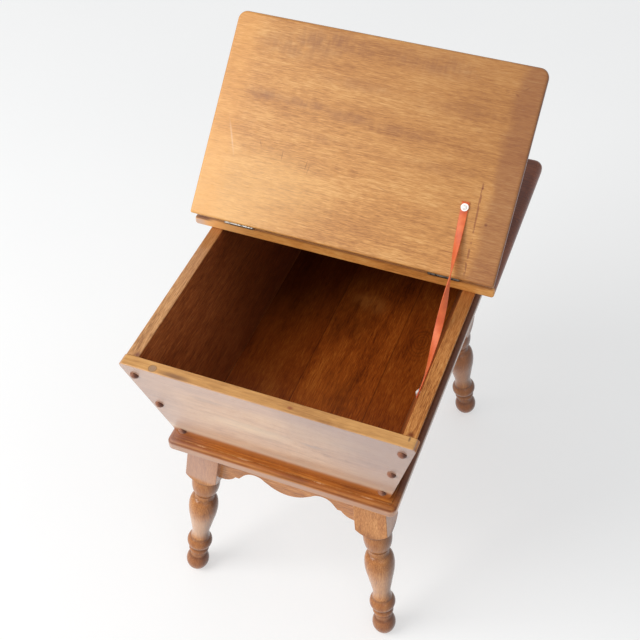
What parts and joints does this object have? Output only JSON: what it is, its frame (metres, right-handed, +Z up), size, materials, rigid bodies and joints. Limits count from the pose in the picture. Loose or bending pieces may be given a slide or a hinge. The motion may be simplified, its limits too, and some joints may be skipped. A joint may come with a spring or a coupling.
{
  "type": "storage table",
  "caption": "Small wooden storage table: flared box on splayed turned legs with scalloped aprons, half of its top fixed and half a hinged lid on a strap stay.",
  "frame": {"origin": "bottom centre of the bounding box, on the floor", "axes": "+Z up, +X along the hinge to the strap's side, +Y from the lid's side to the fixed side"},
  "size_m": [0.4572, 0.5888, 0.798],
  "materials": {
    "wood_lid": "satin",
    "wood_top": "satin",
    "wood_box": "satin",
    "wood_base": "satin",
    "wood_stand": "satin",
    "wood_inner": "matte",
    "wood_plug": "satin",
    "hinge_steel": "satin",
    "screw_steel": "satin",
    "strap_metal": "polished",
    "strap_leather": "satin"
  },
  "bodies": {
    "carcass": {"apron_front": "wood_stand", "apron_left": "wood_stand", "apron_rear": "wood_stand", "apron_right": "wood_stand", "base_board": "wood_base", "base_screws": "screw_steel", "batten_front": "wood_inner", "batten_left": "wood_inner", "batten_rear": "wood_inner", "batten_right": "wood_inner", "batten_screws": "screw_steel", "box_screws_front": "screw_steel", "box_screws_rear": "screw_steel", "button_plugs_front": "wood_plug", "button_plugs_rear": "wood_plug", "cleat_screws": "screw_steel", "end_board_front": "wood_box", "end_board_rear": "wood_box", "fixed_leaf_screws": "screw_steel", "fixed_top": "wood_top", "hinge_left_fixed_leaf": "hinge_steel", "hinge_left_pin": "hinge_steel", "hinge_right_fixed_leaf": "hinge_steel", "hinge_right_pin": "hinge_steel", "leg_front_left": "wood_stand", "leg_front_right": "wood_stand", "leg_rear_left": "wood_stand", "leg_rear_right": "wood_stand", "rim_plug": "wood_plug", "side_board_left": "wood_box", "side_board_right": "wood_box", "stay_strap": "strap_leather", "strap_wall_screw": "strap_metal", "strap_wall_washer": "strap_metal", "top_cleat_left": "wood_inner", "top_cleat_right": "wood_inner"},
    "lid": {"hinge_left_lid_leaf": "hinge_steel", "hinge_right_lid_leaf": "hinge_steel", "lid_leaf_screws": "screw_steel", "lid_panel": "wood_lid", "strap_lid_screw": "strap_metal", "strap_lid_washer": "strap_metal"}
  },
  "joints": [
    {"name": "lid_hinge", "type": "hinge", "parent": "carcass", "child": "lid", "pos_m": [0, -0.00935, 0.5747], "axis": [-1, 0, 0], "range_deg": [-136, 0], "deforming": ["stay_strap"]}
  ]
}
